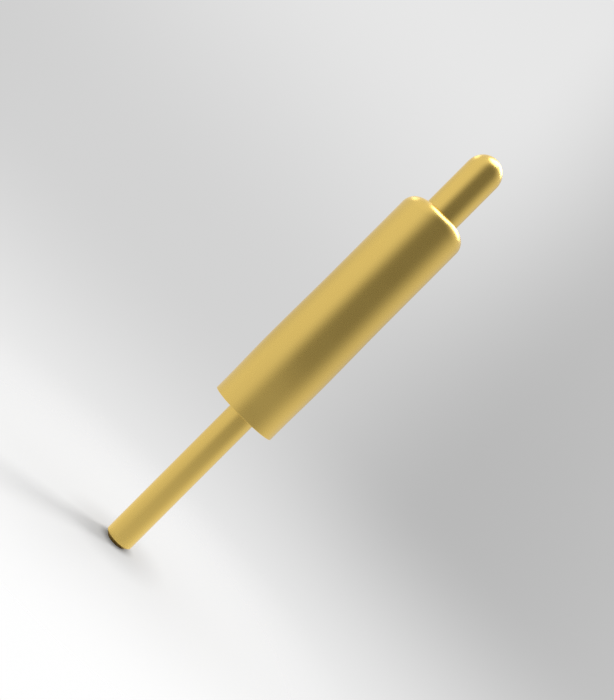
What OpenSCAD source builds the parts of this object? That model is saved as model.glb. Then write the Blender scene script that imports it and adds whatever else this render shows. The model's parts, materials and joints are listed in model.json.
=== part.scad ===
// Spring-loaded contact pin (pogo pin) with a solder tail, in millimetres.
// +Z runs along the axis towards the contact tip. The origin is the centre of the seating
// shoulder, where the foot of the barrel meets the board. All three pieces lie on the axis.

/* [Barrel] */
// Diameter of the barrel above and below the press-fit swell
barrel_d = 1.9; // [1.7:0.02:2.2]
// Length of the barrel from the seating shoulder to the mouth
barrel_l = 7; // [6.4:0.05:9]
// Thickness of the tube wall and of the rolled lip
wall_t = 0.25; // [0.18:0.01:0.3]
// Thickness of the solid web between the seating shoulder and the spring
web_t = 0.8; // [0.6:0.05:1.2]
// Outer radius of the rolled-in mouth
mouth_round = 0.36; // [0.3:0.01:0.4]
// Break of the lip's edge around the plunger
lip_break = 0.03; // [0.01:0.005:0.05]
// Diameter of the pilot drill that leaves a point in the floor of the bore
pilot_d = 0.5; // [0.3:0.05:0.6]
// Included angle of the pilot drill's point
pilot_angle = 118; // [90:1:140]

/* [Press-fit swell] */
// Diameter of the barrel at the crest of the swell
swell_d = 1.94; // [1.92:0.01:1.98]
// Height of the swell's start above the seating shoulder
swell_start = 1.05; // [0.8:0.05:1.3]
// Length of the steep rise from the start to the crest
swell_rise = 0.45; // [0.3:0.05:0.8]
// Length of the crest
swell_crest = 0.4; // [0.2:0.05:0.6]
// Length of the long taper from the crest back to the barrel
swell_taper = 2.1; // [1.5:0.05:2.5]

/* [Solder tail] */
// Diameter of the tail
tail_d = 0.79; // [0.6:0.01:1]
// Length of the tail below the seating shoulder
tail_l = 4.55; // [1.5:0.05:8]
// Width and height of the chamfer at the tail's end
tail_chamfer = 0.11; // [0.05:0.01:0.2]

/* [Plunger] */
// Diameter of the shaft and of its round tip
plunger_d = 1; // [0.8:0.01:1.06]
// How far the tip stands out of the mouth at rest
plunger_out = 2.03; // [1.95:0.01:3]
// How far the plunger can be pressed in
travel = 1.4; // [0.8:0.05:1.4]
// Chamfer at both ends of the skirt
skirt_chamfer = 0.05; // [0.02:0.01:0.06]
// Slant of the foot, which presses the skirt against the bore
bias_angle = 10; // [0:1:15]

/* [Spring] */
// Diameter of the spring wire
wire_d = 0.15; // [0.1:0.01:0.16]
// Number of coils that work
active_coils = 7; // [5:1:8]
// Number of closed coils at each end
end_coils = 1; // [1:0.5:1.5]
// Length left between the coils when the plunger is pressed right in
spring_reserve = 0.2; // [0.1:0.05:0.4]

/* [Fits] */
// Gap between the shaft and the lip, on the radius
mouth_clear = 0.03; // [0.02:0.005:0.05]
// Gap between the skirt and the bore, on the radius
skirt_clear = 0.04; // [0.02:0.005:0.06]
// Gap between the spring and the bore, on the radius
spring_clear = 0.08; // [0.05:0.01:0.12]
// Gap between the skirt and the underside of the lip at rest
stop_gap = 0.02; // [0.01:0.005:0.03]
// Gap between each end of the spring and its seat
seat_gap = 0.01; // [0.005:0.005:0.02]

/* [Hidden] */
$fn = 96;
gold = [0.85, 0.69, 0.38];
steel = [0.72, 0.73, 0.75];
over = 1;                  // how far a cutter runs past the face it cuts
wire_sides = 8;            // corners of the wire's section
rings_per_coil = 20;       // sections along one coil of the spring
closed_pitch = 1.03;       // pitch of the closed coils, in wire diameters

// Barrel
barrel_r = barrel_d / 2;
bore_r = barrel_r - wall_t;
tail_r = tail_d / 2;
round_r = barrel_r - mouth_round;                // radius of the circle that the lip rolls about
round_z = barrel_l - mouth_round;                // and its height
inner_round = max(mouth_round - wall_t, 0.02);   // the bore's own corner under the lip
lip_z = barrel_l - wall_t;                       // underside of the lip
crest_z = swell_start + swell_rise;
taper_z = crest_z + swell_crest;

// Plunger
shaft_r = plunger_d / 2;
mouth_r = shaft_r + mouth_clear;
tip_z = barrel_l + plunger_out;
skirt_r = bore_r - skirt_clear;
skirt_top = lip_z - stop_gap;

// Spring
wire_r = wire_d / 2;
coil_r = bore_r - spring_clear - wire_r;
turns = active_coils + 2 * end_coils;
solid_l = (turns + 1) * wire_d;
spring_l = solid_l + travel + spring_reserve;
foot_z = web_t + spring_l;                       // lowest point of the plunger's foot
coil_low = web_t + seat_gap + wire_r;
coil_high = foot_z - seat_gap - wire_r;
end_rise = end_coils * closed_pitch * wire_d;
active_rise = coil_high - coil_low - 2 * end_rise;

// Outline of the turned bar, right of the axis, before it is bored: tail, shoulder, swell, mouth
module bar_outline() {
    polygon([
        [0, -tail_l], [tail_r - tail_chamfer, -tail_l], [tail_r, tail_chamfer - tail_l], [tail_r, 0],
        [barrel_r, 0], [barrel_r, swell_start], [swell_d / 2, crest_z],
        [swell_d / 2, taper_z], [barrel_r, taper_z + swell_taper], [barrel_r, round_z],
        [round_r, round_z], [round_r, barrel_l], [0, barrel_l]
    ]);
    translate([round_r, round_z]) circle(r = mouth_round);
}

// Outline of the blind bore: straight wall, rounded corner under the lip, pilot drill point
module bore_outline() {
    corner_r = bore_r - inner_round;
    corner_z = lip_z - inner_round;
    pilot_r = pilot_d / 2;
    polygon([
        [0, web_t - pilot_r / tan(pilot_angle / 2)], [pilot_r, web_t], [bore_r, web_t],
        [bore_r, corner_z], [corner_r, corner_z], [corner_r, lip_z], [0, lip_z]
    ]);
    translate([corner_r, corner_z]) circle(r = inner_round);
}

// Outline of the hole through the lip, with both of its edges broken
module mouth_outline() {
    polygon([
        [0, lip_z - lip_break], [mouth_r + 2 * lip_break, lip_z - lip_break],
        [mouth_r, lip_z + lip_break], [mouth_r, barrel_l - lip_break],
        [mouth_r + lip_break + over, barrel_l + over], [0, barrel_l + over]
    ]);
}

module barrel() {
    color(gold)
        rotate_extrude()
            difference() {
                bar_outline();
                bore_outline();
                mouth_outline();
            }
}

// Round tip, shaft, and the wider skirt that the lip retains, with its foot cut on a slant
module plunger() {
    foot_fall = 2 * skirt_r * tan(bias_angle);
    color(gold)
        difference() {
            union() {
                translate([0, 0, tip_z - shaft_r]) sphere(r = shaft_r);
                translate([0, 0, foot_z]) cylinder(r = shaft_r, h = tip_z - shaft_r - foot_z);
                rotate_extrude() skirt_outline();
            }
            translate([-skirt_r, 0, foot_z])
                rotate([0, -bias_angle, 0])
                    translate([-over, -skirt_r - over, -foot_fall - over])
                        cube([2 * (skirt_r + over) / cos(bias_angle), 2 * (skirt_r + over), foot_fall + over]);
        }
}

module skirt_outline() {
    polygon([
        [0, foot_z], [skirt_r - skirt_chamfer, foot_z], [skirt_r, foot_z + skirt_chamfer],
        [skirt_r, skirt_top - skirt_chamfer], [skirt_r - skirt_chamfer, skirt_top], [0, skirt_top]
    ]);
}

// Height of the wire's centre after a number of turns: closed coils, working coils, closed coils
function wire_z(turn) =
    turn < end_coils ? coil_low + end_rise * turn / end_coils :
    turn > turns - end_coils ? coil_high - end_rise * (turns - turn) / end_coils :
    coil_low + end_rise + active_rise * (turn - end_coils) / active_coils;

// Corners of the wire's section after a number of turns
function wire_ring(turn) = [
    for (side = [0 : wire_sides - 1])
        let (a = 360 * (side + 0.5) / wire_sides, r = coil_r + wire_r * cos(a))
            [r * cos(360 * turn), r * sin(360 * turn), wire_z(turn) + wire_r * sin(a)]
];

module spring() {
    rings = round(turns * rings_per_coil);
    points = [for (ring = [0 : rings]) each wire_ring(turns * ring / rings)];
    sides = [
        for (ring = [0 : rings - 1], side = [0 : wire_sides - 1])
            let (
                here = ring * wire_sides,
                next = here + wire_sides,
                beside = (side + 1) % wire_sides
            )
                each [
                    [here + side, next + side, next + beside],
                    [here + side, next + beside, here + beside]
                ]
    ];
    first_end = [for (side = [0 : wire_sides - 1]) side];
    last_end = [for (side = [wire_sides - 1 : -1 : 0]) rings * wire_sides + side];
    color(steel) polyhedron(points, concat(sides, [first_end, last_end]));
}

barrel();
plunger();
spring();
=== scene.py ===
import json
import math

import bmesh
import bpy
from mathutils import Euler, Matrix, Vector


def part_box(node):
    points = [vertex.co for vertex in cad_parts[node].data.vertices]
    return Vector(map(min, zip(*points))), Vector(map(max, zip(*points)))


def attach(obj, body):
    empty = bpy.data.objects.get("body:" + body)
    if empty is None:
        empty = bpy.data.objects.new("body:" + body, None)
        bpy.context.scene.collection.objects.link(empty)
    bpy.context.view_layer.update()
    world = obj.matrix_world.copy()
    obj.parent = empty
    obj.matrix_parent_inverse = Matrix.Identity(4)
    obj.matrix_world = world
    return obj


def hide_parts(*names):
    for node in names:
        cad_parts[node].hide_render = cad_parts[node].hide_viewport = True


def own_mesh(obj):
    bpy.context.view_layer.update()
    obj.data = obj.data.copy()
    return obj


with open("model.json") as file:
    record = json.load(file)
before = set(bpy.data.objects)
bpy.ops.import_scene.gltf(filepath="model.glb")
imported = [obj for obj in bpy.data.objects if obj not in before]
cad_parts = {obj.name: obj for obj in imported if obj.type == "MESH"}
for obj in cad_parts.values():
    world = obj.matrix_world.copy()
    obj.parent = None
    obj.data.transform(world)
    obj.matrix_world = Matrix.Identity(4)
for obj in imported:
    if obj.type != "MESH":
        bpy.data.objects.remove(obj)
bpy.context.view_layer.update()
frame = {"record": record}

MM = 0.001

# ---------------------------------------------------------------- sizes, from the frame
MOUNTS = {mount["name"]: mount for mount in frame["record"]["mounts"]}
barrel_low, barrel_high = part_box("barrel")
plunger_low, plunger_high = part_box("plunger")
spring_low, spring_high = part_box("spring")

TAIL_END = barrel_low.z
TAIL_R = MOUNTS["solder_tail"]["dims"]["r_mm"] * MM
TAIL_CHAMFER = -TAIL_END - MOUNTS["solder_tail"]["dims"]["length_mm"] * MM
BARREL_R = MOUNTS["barrel_body"]["dims"]["r_mm"] * MM
SWELL_R = barrel_high.x
MOUTH_Z = barrel_high.z
TIP_Z = plunger_high.z
SKIRT_R = plunger_high.x
FOOT_Z = plunger_low.z
SPRING_R = spring_high.x

# ---------------------------------------------------------------- sizes that only the looks need
WALL = 0.25 * MM              # the tube's wall and the lip
BORE_R = BARREL_R - WALL
BORE_FLOOR = 0.8 * MM
STOP_GAP = 0.02 * MM          # between the skirt and the underside of the lip
SKIRT_TOP = MOUTH_Z - WALL - STOP_GAP
PILOT_R = 0.25 * MM           # pilot drill's point in the floor of the bore
PILOT_DEPTH = 0.15 * MM
MOUTH_ROUND = 0.36 * MM       # outer radius of the rolled mouth
LIP_BREAK = 0.03 * MM         # broken edge round the plunger
MOUTH_R = 0.53 * MM           # hole in the lip
SWELL_START = 0.25 * MM       # the swell rises and falls without an edge
CREST = 1.8 * MM
SWELL_END = 4.2 * MM
SWELL_STEPS = 16
EDGE = 0.008 * MM             # how far a turned edge is broken
SHAFT_R = 0.5 * MM
SKIRT_CHAMFER = 0.05 * MM
FOOT_SLANT = math.radians(10)
WIRE_R = 0.075 * MM
CLOSED_PITCH = 1.03           # pitch of the closed coils, in wire diameters
ACTIVE_COILS = 7
END_COILS = 1

AROUND = 256                  # steps round a turned piece
ARC_STEP = math.radians(5)    # one step of a rounded corner
GUARD = 0.03 * MM             # keeps the shading of a straight stretch even up to its ends


# ---------------------------------------------------------------- forms
def rounded(corners):
    """The outline through corners (r, z, radius), with an arc of that radius at each one."""
    points = []
    for index, (r, z, radius) in enumerate(corners):
        here = Vector((r, z))
        if radius == 0:
            points.append(here)
            continue
        back = (Vector(corners[index - 1][:2]) - here).normalized()
        ahead = (Vector(corners[(index + 1) % len(corners)][:2]) - here).normalized()
        half = back.angle(ahead) / 2
        centre = here + (back + ahead).normalized() * radius / math.sin(half)
        first = here + back * radius / math.tan(half) - centre
        turn = first.angle_signed(here + ahead * radius / math.tan(half) - centre)
        steps = max(4, math.ceil(abs(turn) / ARC_STEP))
        for step in range(steps + 1):
            points.append(centre + Matrix.Rotation(-turn * step / steps, 2) @ first)
    guarded = points[:1]
    for point in points[1:]:
        stretch = point - guarded[-1]
        if stretch.length < 1e-8:
            continue
        if stretch.length > 4 * GUARD:
            guarded.append(guarded[-1] + stretch.normalized() * GUARD)
            guarded.append(point - stretch.normalized() * GUARD)
        guarded.append(point)
    return guarded


def turned(name, corners, sharp=math.radians(35)):
    """A solid of revolution about Z. The outline starts and ends on the axis."""
    outline = rounded(corners)
    mesh = bmesh.new()
    rings = []
    for point in outline:
        if point.x < 1e-9:
            rings.append([mesh.verts.new((0, 0, point.y))] * AROUND)
            continue
        ring = []
        for step in range(AROUND):
            angle = 2 * math.pi * step / AROUND
            ring.append(mesh.verts.new((point.x * math.cos(angle), point.x * math.sin(angle), point.y)))
        rings.append(ring)
    for low, high in zip(rings, rings[1:]):
        for step in range(AROUND):
            beside = (step + 1) % AROUND
            corners_here = [low[step], low[beside], high[beside], high[step]]
            mesh.faces.new(list(dict.fromkeys(corners_here)))
    return as_object(name, mesh, sharp)


def as_object(name, mesh, sharp):
    """Turns the bmesh into a smooth-shaded object with edges sharper than an angle kept sharp."""
    bmesh.ops.recalc_face_normals(mesh, faces=mesh.faces)
    for face in mesh.faces:
        face.smooth = True
    for edge in mesh.edges:
        edge.smooth = edge.calc_face_angle(0) < sharp
    data = bpy.data.meshes.new(name)
    mesh.to_mesh(data)
    mesh.free()
    made = bpy.data.objects.new(name, data)
    bpy.context.scene.collection.objects.link(made)
    return made


def swell():
    """Corners of the press-fit swell, eased in and out of the barrel."""
    corners = []
    for start, end, low, high in (
            (SWELL_START, CREST, BARREL_R, SWELL_R), (CREST, SWELL_END, SWELL_R, BARREL_R)):
        for step in range(SWELL_STEPS + 1):
            share = step / SWELL_STEPS
            eased = share * share * (3 - 2 * share)
            corners.append((low + (high - low) * eased, start + (end - start) * share, 0))
    return corners


def make_barrel():
    """Tail, seating shoulder, press-fit swell, rolled mouth and the blind bore, all one turned piece."""
    return turned("gold_barrel", [
        (0, TAIL_END, 0),
        (TAIL_R - TAIL_CHAMFER, TAIL_END, EDGE),
        (TAIL_R, TAIL_END + TAIL_CHAMFER, EDGE),
        (TAIL_R, 0, EDGE),
        (BARREL_R, 0, EDGE),
        *swell(),
        (BARREL_R, MOUTH_Z, MOUTH_ROUND),
        (MOUTH_R, MOUTH_Z, LIP_BREAK),
        (MOUTH_R, MOUTH_Z - WALL, LIP_BREAK),
        (BORE_R, MOUTH_Z - WALL, MOUTH_ROUND - WALL),
        (BORE_R, BORE_FLOOR, EDGE),
        (PILOT_R, BORE_FLOOR, 0),
        (0, BORE_FLOOR - PILOT_DEPTH, 0),
    ])


def make_plunger():
    """Round tip, shaft and retained skirt, with the skirt's foot cut on a slant."""
    foot_high = FOOT_Z + 2 * SKIRT_R * math.tan(FOOT_SLANT)
    made = turned("gold_plunger", [
        (0, FOOT_Z - SKIRT_R, 0),
        (SKIRT_R, FOOT_Z - SKIRT_R, 0),
        (SKIRT_R, SKIRT_TOP - SKIRT_CHAMFER, 0),
        (SKIRT_R - SKIRT_CHAMFER, SKIRT_TOP, 0),
        (SHAFT_R, SKIRT_TOP, EDGE),
        (SHAFT_R, TIP_Z, SHAFT_R),
        (0, TIP_Z, 0),
    ])
    mesh = bmesh.new()
    mesh.from_mesh(made.data)
    normal = Vector((math.sin(FOOT_SLANT), 0, -math.cos(FOOT_SLANT)))
    middle = Vector((0, 0, (FOOT_Z + foot_high) / 2))
    cut = bmesh.ops.bisect_plane(
        mesh, geom=mesh.verts[:] + mesh.edges[:] + mesh.faces[:],
        plane_co=middle, plane_no=normal, clear_outer=True)
    rim = [part for part in cut["geom_cut"] if isinstance(part, bmesh.types.BMEdge)]
    bmesh.ops.contextual_create(mesh, geom=rim)
    for edge in rim:
        edge.smooth = False
    mesh.to_mesh(made.data)
    mesh.free()
    return made


def make_spring():
    """Round wire on a helix, with a closed coil at each end."""
    sides = 16
    rings_per_coil = 64
    coil_r = SPRING_R - WIRE_R
    turns = ACTIVE_COILS + 2 * END_COILS
    low = spring_low.z + WIRE_R
    high = spring_high.z - WIRE_R
    end_rise = END_COILS * CLOSED_PITCH * 2 * WIRE_R
    mesh = bmesh.new()
    rings = []
    for index in range(turns * rings_per_coil + 1):
        turn = index / rings_per_coil
        if turn < END_COILS:
            height = low + end_rise * turn / END_COILS
        elif turn > turns - END_COILS:
            height = high - end_rise * (turns - turn) / END_COILS
        else:
            height = low + end_rise + (high - low - 2 * end_rise) * (turn - END_COILS) / ACTIVE_COILS
        heading = 2 * math.pi * turn
        ring = []
        for side in range(sides):
            around = 2 * math.pi * (side + 0.5) / sides
            reach = coil_r + WIRE_R * math.cos(around)
            ring.append(mesh.verts.new((
                reach * math.cos(heading), reach * math.sin(heading),
                height + WIRE_R * math.sin(around))))
        rings.append(ring)
    for here, ahead in zip(rings, rings[1:]):
        for side in range(sides):
            beside = (side + 1) % sides
            mesh.faces.new([here[side], ahead[side], ahead[beside], here[beside]])
    mesh.faces.new(rings[0])
    mesh.faces.new(rings[-1][::-1])
    return as_object("steel_spring", mesh, math.radians(50))


# ---------------------------------------------------------------- node helpers
def put(tree, kind, inputs=None, **settings):
    """A new node with its settings and inputs set; an input is a value or another node's output."""
    made = tree.nodes.new(kind)
    for name, value in settings.items():
        setattr(made, name, value)
    for name, value in (inputs or {}).items():
        if isinstance(value, bpy.types.NodeSocket):
            tree.links.new(value, made.inputs[name])
        else:
            made.inputs[name].default_value = value
    return made


def calc(tree, operation, *values):
    """The result of one Math node."""
    return put(tree, "ShaderNodeMath", dict(enumerate(values)), operation=operation).outputs[0]


def ramp(tree, value, start, end, low=0.0, high=1.0):
    """A smooth step from low to high while the value goes from start to end."""
    inputs = {"Value": value, "From Min": start, "From Max": end, "To Min": low, "To Max": high}
    return put(tree, "ShaderNodeMapRange", inputs, interpolation_type="SMOOTHSTEP").outputs["Result"]


def between(tree, share, first, second):
    """first where share is 0, second where it is 1."""
    return put(tree, "ShaderNodeMix", {"Factor": share, "A": first, "B": second}).outputs["Result"]


# ---------------------------------------------------------------- materials
def new_material(name):
    made = bpy.data.materials.new(name)
    made.use_nodes = True
    made.node_tree.nodes.clear()
    return made, made.node_tree


def gold_material():
    """Satin gold plating over turned brass."""
    made, tree = new_material("gold_plate")
    place = put(tree, "ShaderNodeTexCoord").outputs["Object"]
    cloud = put(tree, "ShaderNodeTexNoise", {"Vector": place, "Scale": 1.2 / MM, "Detail": 2.0})
    grain = put(tree, "ShaderNodeTexNoise", {"Vector": place, "Scale": 25 / MM, "Detail": 2.0})
    colour = put(tree, "ShaderNodeMix", {
        "Factor": cloud.outputs["Fac"],
        "A": (0.955, 0.670, 0.178, 1), "B": (0.965, 0.690, 0.190, 1)}, data_type="RGBA")
    roughness = calc(tree, "ADD", ramp(tree, cloud.outputs["Fac"], 0.3, 0.7, 0.26, 0.275),
                     ramp(tree, grain.outputs["Fac"], 0.3, 0.7, 0.0, 0.01))
    surface = put(tree, "ShaderNodeBsdfPrincipled", {
        "Base Color": colour.outputs["Result"],
        "Metallic": 1.0,
        "Roughness": roughness})
    put(tree, "ShaderNodeOutputMaterial", {"Surface": surface.outputs[0]})
    return made


def steel_material():
    """Drawn stainless wire."""
    made, tree = new_material("spring_steel")
    place = put(tree, "ShaderNodeTexCoord").outputs["Object"]
    grain = put(tree, "ShaderNodeTexNoise", {"Vector": place, "Scale": 20 / MM, "Detail": 2.0})
    surface = put(tree, "ShaderNodeBsdfPrincipled", {
        "Base Color": (0.62, 0.62, 0.63, 1),
        "Metallic": 1.0,
        "Roughness": ramp(tree, grain.outputs["Fac"], 0.3, 0.7, 0.22, 0.32)})
    put(tree, "ShaderNodeOutputMaterial", {"Surface": surface.outputs[0]})
    return made


# ---------------------------------------------------------------- studio
FLOOR_ALBEDO = 0.46
# Painted shade and light in the floor: its colour and glow are darker close to the tail, its glow is dimmer
# in a ring round the foot and brighter towards the camera.
CONTACT_SHADE_ALBEDO = 0.3
FLOOR_GLOW = 0.92
PAINTED_NEAR_GLOW = 1.12
CONTACT_SHADE_GLOW = 0.35
RING_SHADE_LEVEL = 0.74
GLOW_SHARE = 0.5                # how much of the floor's paleness only the camera sees
END_R = TAIL_R - TAIL_CHAMFER   # the floor is left out under the flat end of the tail
SHADE_PAINT_START = 0.7 * TAIL_R    # painted shade: the floor's colour is darker close to the tail
SHADE_PAINT_END = 1.5 * TAIL_R
# painted shade: the glow is dimmer close to the tail
GLOW_SHADE_START = 0.25 * MM
GLOW_SHADE_END = 0.65 * MM
# painted shade: a dimmer ring of glow round the foot
RING_SHADE_START = 0.4 * MM
RING_SHADE_END = 1.9 * MM
NEAR_START = 0.5 * MM           # painted light: the floor's glow brightens towards the camera over this stretch of Y
NEAR_END = -7 * MM
MIRROR_START = 0.4 * MM         # the gold mirrors the floor only this close to the tail
MIRROR_END = 1.0 * MM
FADE_START = 2.5 * MM
FADE_END = 11 * MM
LAMP_DISTANCE = 0.4

# Brightness of the studio round the pin, at the horizon and 20 degrees or so above it
LEFT_SIDE = (0.705, 0.77)
RIGHT_SIDE = (0.60, 0.68)
BACK_LEFT = (0.65, 0.80)
BACK_RIGHT = (0.485, 0.53)
DARK_FRONT = 0.187
LEFT_DIP = 0.09                 # how much the left is dimmed beside the backdrop
FLOOR_IN_FRONT = 0.62
FLOOR_BEHIND = 0.88

LENS = 42.99                    # focal length for a sensor of that width, both in mm
SENSOR = 36
CAMERA_DISTANCE = 21.122 * MM
CAMERA_HEIGHT = 2.265 * MM
CAMERA_ROLL = math.radians(44.98)


def floor_material():
    """A matt pale floor that keeps the shadow and fades out to the backdrop round it, with painted shade
    round the foot of the tail and painted light towards the camera.
    """
    made, tree = new_material("pale_floor")
    place = put(tree, "ShaderNodeTexCoord").outputs["Object"]
    distance = put(tree, "ShaderNodeVectorMath", {0: place}, operation="LENGTH").outputs["Value"]
    fade = ramp(tree, distance, FADE_START, FADE_END, 1.0, 0.0)
    # painted shade: the floor's colour is darker close to the tail
    albedo = ramp(tree, distance, SHADE_PAINT_START, SHADE_PAINT_END, CONTACT_SHADE_ALBEDO, FLOOR_ALBEDO)
    matt = put(tree, "ShaderNodeBsdfDiffuse", {"Color": albedo})
    y = put(tree, "ShaderNodeSeparateXYZ", {0: place}).outputs["Y"]
    # painted shade: the glow is dimmer in a ring round the foot
    painted_ring_shade = ramp(tree, distance, RING_SHADE_START, RING_SHADE_END, RING_SHADE_LEVEL, 1.0)
    # painted light: the glow is brighter towards the camera
    painted_near_light = ramp(tree, y, NEAR_START, NEAR_END, FLOOR_GLOW, PAINTED_NEAR_GLOW)
    open_glow = calc(tree, "MULTIPLY", painted_near_light, painted_ring_shade)
    # painted shade: the glow is dimmer close to the tail
    painted_contact_shade = ramp(tree, distance, GLOW_SHADE_START, GLOW_SHADE_END)
    glow = put(tree, "ShaderNodeEmission", {"Strength": between(tree, painted_contact_shade, CONTACT_SHADE_GLOW, open_glow)})
    path = put(tree, "ShaderNodeLightPath").outputs
    glowing = calc(tree, "MULTIPLY", path["Is Camera Ray"], GLOW_SHARE)
    lit = put(tree, "ShaderNodeMixShader", {0: glowing, 1: matt.outputs[0], 2: glow.outputs[0]})
    clear = put(tree, "ShaderNodeBsdfTransparent")
    facing = put(tree, "ShaderNodeNewGeometry").outputs["Backfacing"]
    fade = calc(tree, "MULTIPLY", fade, ramp(tree, distance, 0.8 * END_R, END_R))
    far = calc(tree, "MULTIPLY", path["Is Glossy Ray"], ramp(tree, distance, MIRROR_START, MIRROR_END))
    share = calc(tree, "MULTIPLY", fade, calc(tree, "SUBTRACT", 1.0, calc(tree, "MAXIMUM", facing, far)))
    surface = put(tree, "ShaderNodeMixShader", {0: share, 1: clear.outputs[0], 2: lit.outputs[0]})
    put(tree, "ShaderNodeOutputMaterial", {"Surface": surface.outputs[0]})
    return made


def make_floor():
    mesh = bmesh.new()
    bmesh.ops.create_circle(mesh, cap_ends=True, radius=FADE_END, segments=64)
    data = bpy.data.meshes.new("floor")
    mesh.to_mesh(data)
    mesh.free()
    floor = bpy.data.objects.new("floor", data)
    bpy.context.scene.collection.objects.link(floor)
    floor.location.z = TAIL_END
    floor.data.materials.append(floor_material())


def make_world():
    """A pale backdrop over a white floor, with a darker side of the studio in front."""
    world = bpy.data.worlds.new("studio")
    bpy.context.scene.world = world
    world.use_nodes = True
    tree = world.node_tree
    tree.nodes.clear()
    looking = put(tree, "ShaderNodeTexCoord").outputs["Generated"]
    part = put(tree, "ShaderNodeSeparateXYZ", {0: looking})
    x, y, z = part.outputs
    heading = calc(tree, "DEGREES", calc(tree, "ARCTAN2", x, y))
    facing = calc(tree, "DEGREES", calc(tree, "ARCTAN2", x, calc(tree, "MULTIPLY", y, -1.0)))
    height = calc(tree, "DEGREES", calc(tree, "ARCSINE", z))

    left_side = ramp(tree, height, 0, 20, *LEFT_SIDE)
    right_side = ramp(tree, height, 0, 20, *RIGHT_SIDE)
    sides = between(tree, ramp(tree, facing, -30, 70), left_side, right_side)
    back_left = ramp(tree, height, 0, 22, *BACK_LEFT)
    back_right = ramp(tree, height, 0, 22, *BACK_RIGHT)
    shaded = ramp(tree, heading, -2, 14)
    back = between(tree, shaded, back_left, back_right)
    behind = calc(tree, "MULTIPLY", ramp(tree, heading, -85, -45), ramp(tree, heading, 14, 45, 1.0, 0.0))
    dip = calc(tree, "MULTIPLY", ramp(tree, heading, -95, -65), ramp(tree, heading, -45, -18, 1.0, 0.0))
    dimmed = calc(tree, "SUBTRACT", 1.0, calc(tree, "MULTIPLY", dip, LEFT_DIP))
    backdrop = calc(tree, "MULTIPLY", between(tree, behind, sides, back), dimmed)

    seen = put(tree, "ShaderNodeLightPath").outputs["Is Camera Ray"]
    dark = calc(tree, "MULTIPLY", ramp(tree, facing, -50, 2), ramp(tree, facing, 39, 115, 1.0, 0.0))
    dark = calc(tree, "MULTIPLY", dark, calc(tree, "SUBTRACT", 1.0, seen))
    studio = between(tree, dark, backdrop, DARK_FRONT)

    lifted = ramp(tree, height, -1, -15, 0.0, 1.0)
    floor_seen = between(tree, ramp(tree, height, -2, -25), between(tree, lifted, backdrop, back_left), 1.0)
    floor_level = ramp(tree, y, -1, 1, FLOOR_IN_FRONT, FLOOR_BEHIND)
    floor_mirrored = between(tree, ramp(tree, height, 1.5, -18.5), studio, floor_level)
    below = between(tree, seen, floor_mirrored, floor_seen)
    level = between(tree, calc(tree, "LESS_THAN", height, 3), studio, below)
    light = put(tree, "ShaderNodeBackground", {"Color": (1, 1, 1, 1), "Strength": level})
    put(tree, "ShaderNodeOutputWorld", {"Surface": light.outputs[0]})


def softbox(name, azimuth, elevation, width, height, radiance, shape="RECTANGLE"):
    """A soft light seen from the pin at that azimuth from -Y towards +X, with sizes in degrees."""
    lamp = bpy.data.lights.new(name, "AREA")
    lamp.shape = shape
    lamp.size = 2 * LAMP_DISTANCE * math.tan(math.radians(width / 2))
    lamp.size_y = 2 * LAMP_DISTANCE * math.tan(math.radians(height / 2))
    area = lamp.size * lamp.size_y * (math.pi / 4 if shape == "ELLIPSE" else 1)
    lamp.energy = radiance * area * math.pi
    made = bpy.data.objects.new(name, lamp)
    bpy.context.scene.collection.objects.link(made)
    a = math.radians(azimuth)
    e = math.radians(elevation)
    towards = Vector((math.sin(a) * math.cos(e), -math.cos(a) * math.cos(e), math.sin(e)))
    made.location = towards * LAMP_DISTANCE
    made.rotation_euler = towards.to_track_quat("Z", "Y").to_euler()
    made.visible_camera = False
    return made


def make_camera():
    lens = bpy.data.cameras.new("camera")
    lens.lens = LENS
    lens.sensor_width = SENSOR
    lens.clip_start = 1 * MM
    lens.clip_end = 100
    camera = bpy.data.objects.new("camera", lens)
    bpy.context.scene.collection.objects.link(camera)
    camera.location = (0, -CAMERA_DISTANCE, CAMERA_HEIGHT)
    level = Euler((math.radians(90), 0, 0)).to_matrix()
    roll = Matrix.Rotation(CAMERA_ROLL, 3, "Z")
    camera.rotation_euler = (level @ roll).to_euler()
    bpy.context.scene.camera = camera


# ---------------------------------------------------------------- the pin
gold = gold_material()
steel = steel_material()
for piece, node, body, material, slot in (
        (make_barrel(), "barrel", "barrel", gold, "gold_plate"),
        (make_plunger(), "plunger", "plunger", gold, "gold_plate"),
        (make_spring(), "spring", "barrel", steel, "spring_steel")):
    piece.data.materials.append(material)
    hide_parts(node)
    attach(piece, body)
    if node == "spring":
        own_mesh(piece)

make_floor()
make_world()
softbox("overhead", 180, 84, 36, 38, 4.5, "ELLIPSE")
softbox("back_right", 149, 52, 33, 29, 3.9)
softbox("back_left", -134, 33, 30, 12, 1.05)
# This one casts the long soft shadow on the floor, and the metal doesn't mirror it.
shadow_maker = softbox("low_back_right", 128, 35, 17, 17, 40)
shadow_maker.visible_glossy = False
make_camera()
bpy.context.scene.view_settings.view_transform = "Standard"
